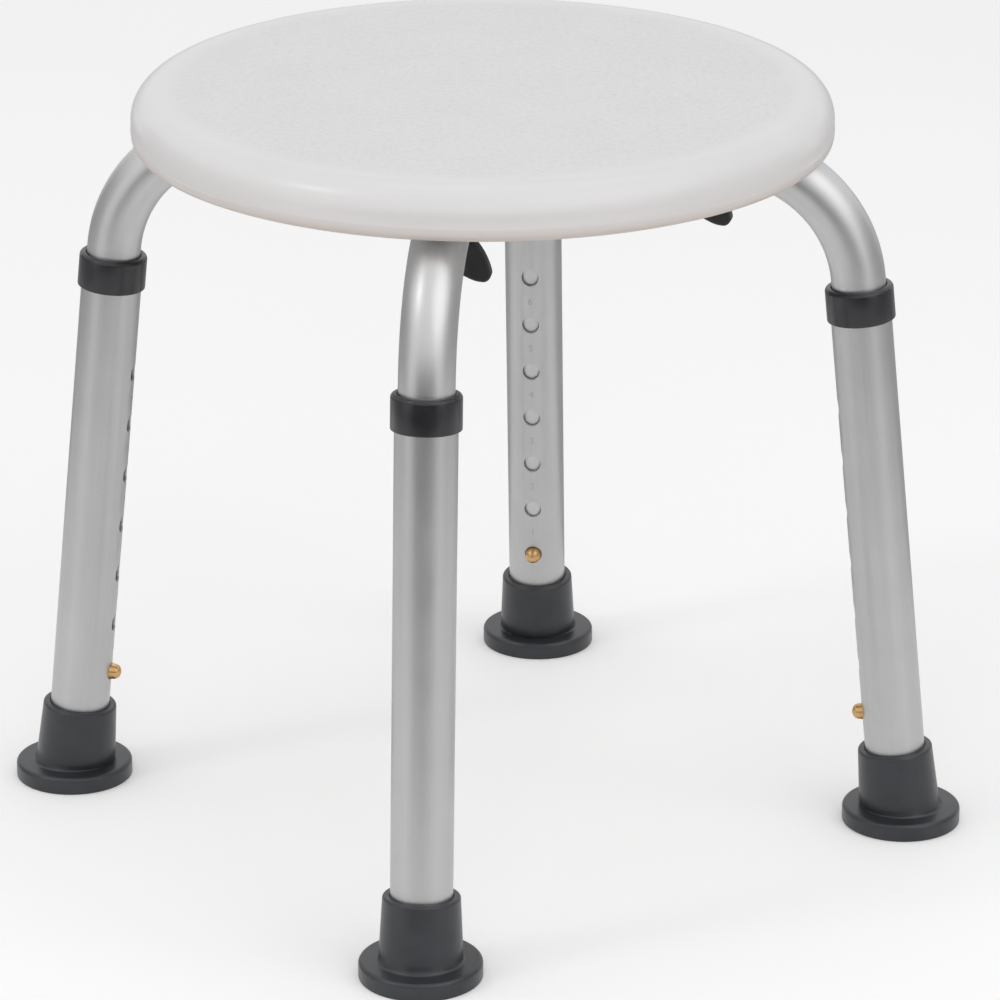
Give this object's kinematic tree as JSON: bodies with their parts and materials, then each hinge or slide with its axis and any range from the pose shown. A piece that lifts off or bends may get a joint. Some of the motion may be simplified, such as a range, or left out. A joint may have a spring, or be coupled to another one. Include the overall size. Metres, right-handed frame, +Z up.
{
  "type": "shower stool",
  "caption": "Round backless shower stool: a flat pale moulded seat on splayed telescoping aluminium legs with snap buttons, wing screws and flanged rubber feet.",
  "frame": {"origin": "on the floor, under the middle of the seat, with the legs at their shortest setting", "axes": "+Z up, +X towards the right leg, +Y towards the back leg, front leg towards -Y"},
  "size_m": [0.4536, 0.4536, 0.352],
  "materials": {
    "seat_polyethylene": "pale grey-white blow-moulded polyethylene with a fine grain",
    "aluminium": "satin anodised drawn tube",
    "collar_plastic": "charcoal glossy moulded plastic",
    "rubber": "matte dark grey moulded rubber",
    "button_brass": "polished brass",
    "insert_brass": "plain turned brass",
    "spring_steel": "bare spring steel",
    "zinc_steel": "zinc plated steel",
    "black_plastic": "black textured moulded plastic"
  },
  "bodies": {
    "seat_frame": {"seat": "seat_polyethylene", "threaded_inserts": "insert_brass", "right_upper_tube": "aluminium", "right_tube_plug": "black_plastic", "right_button_spring": "spring_steel", "back_upper_tube": "aluminium", "back_tube_plug": "black_plastic", "back_button_spring": "spring_steel", "left_upper_tube": "aluminium", "left_tube_plug": "black_plastic", "left_button_spring": "spring_steel", "front_upper_tube": "aluminium", "front_tube_plug": "black_plastic", "front_button_spring": "spring_steel"},
    "right_leg": {"right_lower_tube": "aluminium", "right_collar": "collar_plastic", "right_foot": "rubber", "right_foot_washer": "zinc_steel"},
    "right_button": {"right_snap_button": "button_brass"},
    "right_outer_saddle": {"right_outer_saddle_washer": "black_plastic"},
    "right_outer_screw": {"right_outer_wing_head": "black_plastic", "right_outer_screw_stud": "zinc_steel"},
    "right_inner_saddle": {"right_inner_saddle_washer": "black_plastic"},
    "right_inner_screw": {"right_inner_wing_head": "black_plastic", "right_inner_screw_stud": "zinc_steel"},
    "back_leg": {"back_lower_tube": "aluminium", "back_collar": "collar_plastic", "back_foot": "rubber", "back_foot_washer": "zinc_steel"},
    "back_button": {"back_snap_button": "button_brass"},
    "back_outer_saddle": {"back_outer_saddle_washer": "black_plastic"},
    "back_outer_screw": {"back_outer_wing_head": "black_plastic", "back_outer_screw_stud": "zinc_steel"},
    "back_inner_saddle": {"back_inner_saddle_washer": "black_plastic"},
    "back_inner_screw": {"back_inner_wing_head": "black_plastic", "back_inner_screw_stud": "zinc_steel"},
    "left_leg": {"left_lower_tube": "aluminium", "left_collar": "collar_plastic", "left_foot": "rubber", "left_foot_washer": "zinc_steel"},
    "left_button": {"left_snap_button": "button_brass"},
    "left_outer_saddle": {"left_outer_saddle_washer": "black_plastic"},
    "left_outer_screw": {"left_outer_wing_head": "black_plastic", "left_outer_screw_stud": "zinc_steel"},
    "left_inner_saddle": {"left_inner_saddle_washer": "black_plastic"},
    "left_inner_screw": {"left_inner_wing_head": "black_plastic", "left_inner_screw_stud": "zinc_steel"},
    "front_leg": {"front_lower_tube": "aluminium", "front_collar": "collar_plastic", "front_foot": "rubber", "front_foot_washer": "zinc_steel"},
    "front_button": {"front_snap_button": "button_brass"},
    "front_outer_saddle": {"front_outer_saddle_washer": "black_plastic"},
    "front_outer_screw": {"front_outer_wing_head": "black_plastic", "front_outer_screw_stud": "zinc_steel"},
    "front_inner_saddle": {"front_inner_saddle_washer": "black_plastic"},
    "front_inner_screw": {"front_inner_wing_head": "black_plastic", "front_inner_screw_stud": "zinc_steel"}
  },
  "joints": [
    {"name": "right_leg_slide", "type": "slide", "parent": "seat_frame", "child": "right_leg", "axis": [0.0976, 0, -0.9952], "range_m": [0, 0.1524]},
    {"name": "right_button_press", "type": "slide", "parent": "seat_frame", "child": "right_button", "axis": [0.9952, 0, 0.0976], "range_m": [0, 0.0064], "stiffness_N_per_m": 1500, "springref_m": -0.002, "deforming": ["right_button_spring"]},
    {"name": "right_outer_saddle_slide", "type": "slide", "parent": "seat_frame", "child": "right_outer_saddle", "axis": [0, 0, -1], "range_m": [0, 0.009]},
    {"name": "right_outer_screw_turn", "type": "hinge", "parent": "right_outer_saddle", "child": "right_outer_screw", "pos_m": [0.0971, 0, 0.30927], "axis": [0, 0, -1], "range_deg": [0, 3245]},
    {"name": "right_inner_saddle_slide", "type": "slide", "parent": "seat_frame", "child": "right_inner_saddle", "axis": [0, 0, -1], "range_m": [0, 0.009]},
    {"name": "right_inner_screw_turn", "type": "hinge", "parent": "right_inner_saddle", "child": "right_inner_screw", "pos_m": [0.047, 0, 0.30927], "axis": [0, 0, -1], "range_deg": [0, 3245]},
    {"name": "back_leg_slide", "type": "slide", "parent": "seat_frame", "child": "back_leg", "axis": [0, 0.0976, -0.9952], "range_m": [0, 0.1524]},
    {"name": "back_button_press", "type": "slide", "parent": "seat_frame", "child": "back_button", "axis": [0, 0.9952, 0.0976], "range_m": [0, 0.0064], "stiffness_N_per_m": 1500, "springref_m": -0.002, "deforming": ["back_button_spring"]},
    {"name": "back_outer_saddle_slide", "type": "slide", "parent": "seat_frame", "child": "back_outer_saddle", "axis": [0, 0, -1], "range_m": [0, 0.009]},
    {"name": "back_outer_screw_turn", "type": "hinge", "parent": "back_outer_saddle", "child": "back_outer_screw", "pos_m": [0, 0.0971, 0.30927], "axis": [0, 0, -1], "range_deg": [0, 3245]},
    {"name": "back_inner_saddle_slide", "type": "slide", "parent": "seat_frame", "child": "back_inner_saddle", "axis": [0, 0, -1], "range_m": [0, 0.009]},
    {"name": "back_inner_screw_turn", "type": "hinge", "parent": "back_inner_saddle", "child": "back_inner_screw", "pos_m": [0, 0.047, 0.30927], "axis": [0, 0, -1], "range_deg": [0, 3245]},
    {"name": "left_leg_slide", "type": "slide", "parent": "seat_frame", "child": "left_leg", "axis": [-0.0976, 0, -0.9952], "range_m": [0, 0.1524]},
    {"name": "left_button_press", "type": "slide", "parent": "seat_frame", "child": "left_button", "axis": [-0.9952, 0, 0.0976], "range_m": [0, 0.0064], "stiffness_N_per_m": 1500, "springref_m": -0.002, "deforming": ["left_button_spring"]},
    {"name": "left_outer_saddle_slide", "type": "slide", "parent": "seat_frame", "child": "left_outer_saddle", "axis": [0, 0, -1], "range_m": [0, 0.009]},
    {"name": "left_outer_screw_turn", "type": "hinge", "parent": "left_outer_saddle", "child": "left_outer_screw", "pos_m": [-0.0971, 0, 0.30927], "axis": [0, 0, -1], "range_deg": [0, 3245]},
    {"name": "left_inner_saddle_slide", "type": "slide", "parent": "seat_frame", "child": "left_inner_saddle", "axis": [0, 0, -1], "range_m": [0, 0.009]},
    {"name": "left_inner_screw_turn", "type": "hinge", "parent": "left_inner_saddle", "child": "left_inner_screw", "pos_m": [-0.047, 0, 0.30927], "axis": [0, 0, -1], "range_deg": [0, 3245]},
    {"name": "front_leg_slide", "type": "slide", "parent": "seat_frame", "child": "front_leg", "axis": [0, -0.0976, -0.9952], "range_m": [0, 0.1524]},
    {"name": "front_button_press", "type": "slide", "parent": "seat_frame", "child": "front_button", "axis": [0, -0.9952, 0.0976], "range_m": [0, 0.0064], "stiffness_N_per_m": 1500, "springref_m": -0.002, "deforming": ["front_button_spring"]},
    {"name": "front_outer_saddle_slide", "type": "slide", "parent": "seat_frame", "child": "front_outer_saddle", "axis": [0, 0, -1], "range_m": [0, 0.009]},
    {"name": "front_outer_screw_turn", "type": "hinge", "parent": "front_outer_saddle", "child": "front_outer_screw", "pos_m": [0, -0.0971, 0.30927], "axis": [0, 0, -1], "range_deg": [0, 3245]},
    {"name": "front_inner_saddle_slide", "type": "slide", "parent": "seat_frame", "child": "front_inner_saddle", "axis": [0, 0, -1], "range_m": [0, 0.009]},
    {"name": "front_inner_screw_turn", "type": "hinge", "parent": "front_inner_saddle", "child": "front_inner_screw", "pos_m": [0, -0.047, 0.30927], "axis": [0, 0, -1], "range_deg": [0, 3245]}
  ],
  "couplings": [
    {"joint": "right_outer_screw_turn", "follows": "right_outer_saddle_slide", "rad_per_m": 6283.2},
    {"joint": "right_inner_screw_turn", "follows": "right_inner_saddle_slide", "rad_per_m": 6283.2},
    {"joint": "back_outer_screw_turn", "follows": "back_outer_saddle_slide", "rad_per_m": 6283.2},
    {"joint": "back_inner_screw_turn", "follows": "back_inner_saddle_slide", "rad_per_m": 6283.2},
    {"joint": "left_outer_screw_turn", "follows": "left_outer_saddle_slide", "rad_per_m": 6283.2},
    {"joint": "left_inner_screw_turn", "follows": "left_inner_saddle_slide", "rad_per_m": 6283.2},
    {"joint": "front_outer_screw_turn", "follows": "front_outer_saddle_slide", "rad_per_m": 6283.2},
    {"joint": "front_inner_screw_turn", "follows": "front_inner_saddle_slide", "rad_per_m": 6283.2}
  ]
}
